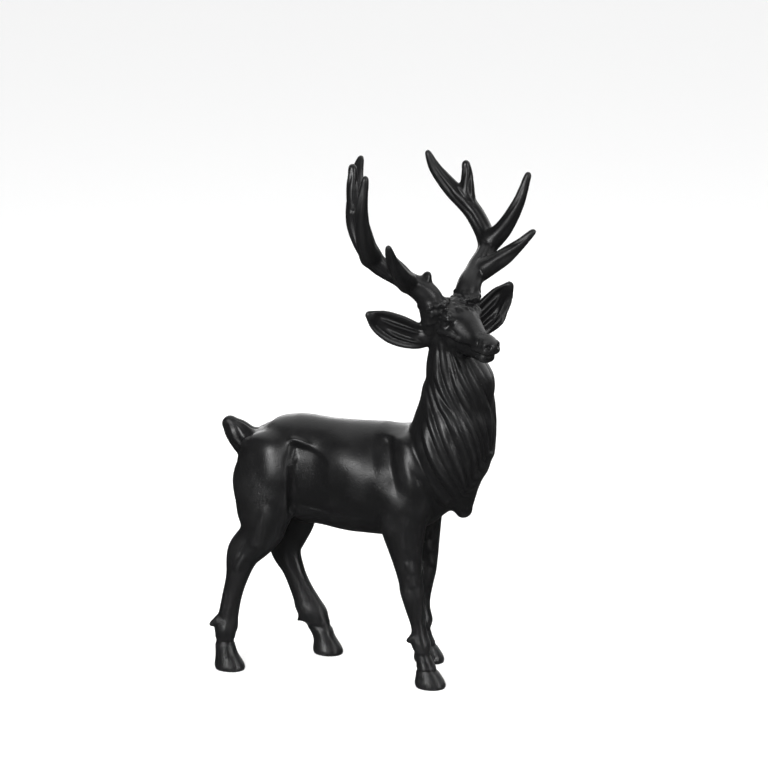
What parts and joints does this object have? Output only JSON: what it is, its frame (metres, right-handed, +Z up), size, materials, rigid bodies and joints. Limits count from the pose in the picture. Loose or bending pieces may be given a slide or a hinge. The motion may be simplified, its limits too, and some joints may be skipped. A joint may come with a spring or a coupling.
{
  "type": "stag statue",
  "caption": "Cast iron stag standing on its hooves, antlers raised and head turned to its right: a free-standing ornament for a shelf, hearth or garden.",
  "frame": {"origin": "on the floor, below the middle of the statue's box", "axes": "+X the way the body faces, +Y the stag's left, +Z up"},
  "size_m": [0.2664, 0.1568, 0.4513],
  "materials": {
    "iron": "satin black, sealed cast surface"
  },
  "bodies": {
    "root": {"stag": "iron"}
  },
  "joints": []
}
